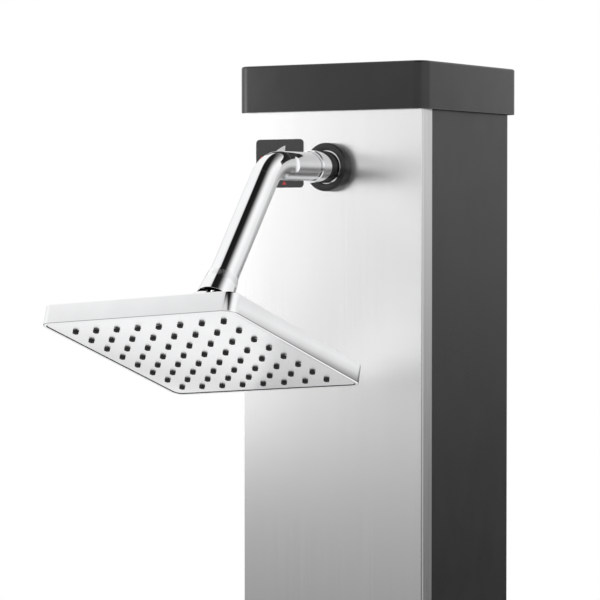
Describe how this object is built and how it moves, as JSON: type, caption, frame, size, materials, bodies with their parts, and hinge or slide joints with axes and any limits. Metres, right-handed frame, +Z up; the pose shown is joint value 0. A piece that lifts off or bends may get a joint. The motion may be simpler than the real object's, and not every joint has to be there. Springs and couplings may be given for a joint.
{
  "type": "rain shower column",
  "caption": "Free-standing rain shower column: dark tank body, brushed steel front, dark cap, swivelling chrome arm, square tilting rain head, lever mixer.",
  "frame": {"origin": "on the floor, at the centre of the base plate's four anchor holes, under the centre of the column", "axes": "+Z up along the column; the front panel and the arm face -Y; +X is to the right seen from the front"},
  "size_m": [0.224, 0.4102, 2.2],
  "materials": {
    "brushed_front": "vertical brushed grain, satin",
    "satin_trim": "satin anodised",
    "stainless_hardware": "plain stainless",
    "black_shell": "fine satin texture",
    "tank_plastic": "smooth",
    "dark_plastic": "satin moulded",
    "printed_label": "printed film",
    "chrome": "polished",
    "brass": "machined",
    "copper": "drawn tube",
    "white_plastic": "smooth",
    "black_rubber": "matt"
  },
  "bodies": {
    "column": {"front_panel": "brushed_front", "trim_left": "satin_trim", "trim_right": "satin_trim", "base_plate": "stainless_hardware", "foot_angles": "stainless_hardware", "foot_screws": "stainless_hardware", "trim_rivets": "stainless_hardware", "panel_studs": "stainless_hardware", "panel_nuts": "stainless_hardware", "cap_screws": "stainless_hardware", "arm_bracket": "stainless_hardware", "mixer_bracket": "stainless_hardware", "bracket_screws": "stainless_hardware", "socket_spacer": "stainless_hardware", "tank_shell": "black_shell", "tank_bottom_plate": "tank_plastic", "tank_top_plate": "tank_plastic", "top_cap": "dark_plastic", "base_collar": "dark_plastic", "wall_rosette": "dark_plastic", "drain_plug": "dark_plastic", "warning_label": "printed_label", "wall_socket": "chrome", "socket_lock_ring": "chrome", "mixer_escutcheon": "chrome", "mixer_dome": "chrome", "wall_elbow": "brass", "pipe_nuts": "brass", "inlet_tee": "brass", "check_valve": "brass", "hose_inlet": "brass", "inlet_nut": "brass", "mixer_body": "brass", "cartridge_ring": "brass", "riser_pipe": "copper", "hot_pipe": "copper", "cold_pipe": "copper", "tank_feed_pipe": "copper", "mixer_cartridge": "white_plastic", "panel_tape": "black_rubber"},
    "arm": {"arm_tube": "chrome", "arm_o_rings": "black_rubber", "arm_clip": "stainless_hardware", "ball_nut": "chrome", "nut_washer": "black_rubber"},
    "ball": {"ball_stem": "chrome"},
    "ball_seat": {"seat_lower": "white_plastic", "seat_upper": "black_rubber"},
    "head": {"socket_collar": "chrome", "head_shell": "chrome", "head_gasket": "black_rubber", "spray_carrier": "white_plastic", "nozzle_mat": "black_rubber", "faceplate": "chrome", "carrier_screws": "stainless_hardware"},
    "mixer_turn": {"cartridge_carrier": "white_plastic", "carrier_pin": "stainless_hardware"},
    "mixer_lever": {"cartridge_stem": "brass", "mixer_handle": "chrome", "handle_plug": "chrome"}
  },
  "joints": [
    {"name": "arm_swivel", "type": "hinge", "parent": "column", "child": "arm", "pos_m": [0, -0.088, 2.1253], "axis": [0, 1, 0], "range_deg": [-40.6, 49.4]},
    {"name": "ball_roll", "type": "hinge", "parent": "arm", "child": "ball", "pos_m": [0.00764, -0.2358, 2.02597], "axis": [-0.0579, 0.6561, 0.7525], "continuous": true},
    {"name": "head_tilt", "type": "hinge", "parent": "ball", "child": "ball_seat", "pos_m": [0.00764, -0.2358, 2.02597], "axis": [0.9971, 0, 0.0767], "range_deg": [-45.4, 4.6]},
    {"name": "head_spin", "type": "hinge", "parent": "ball_seat", "child": "head", "pos_m": [0.00764, -0.2358, 2.02597], "axis": [-0.0605, 0.3518, 0.9341], "continuous": true},
    {"name": "mixer_temperature", "type": "hinge", "parent": "column", "child": "mixer_turn", "pos_m": [0, -0.082, 1.1], "axis": [0, 1, 0], "range_deg": [-45, 45]},
    {"name": "mixer_flow", "type": "hinge", "parent": "mixer_turn", "child": "mixer_lever", "pos_m": [0, -0.082, 1.1], "axis": [-1, 0, 0], "range_deg": [0, 25]}
  ]
}
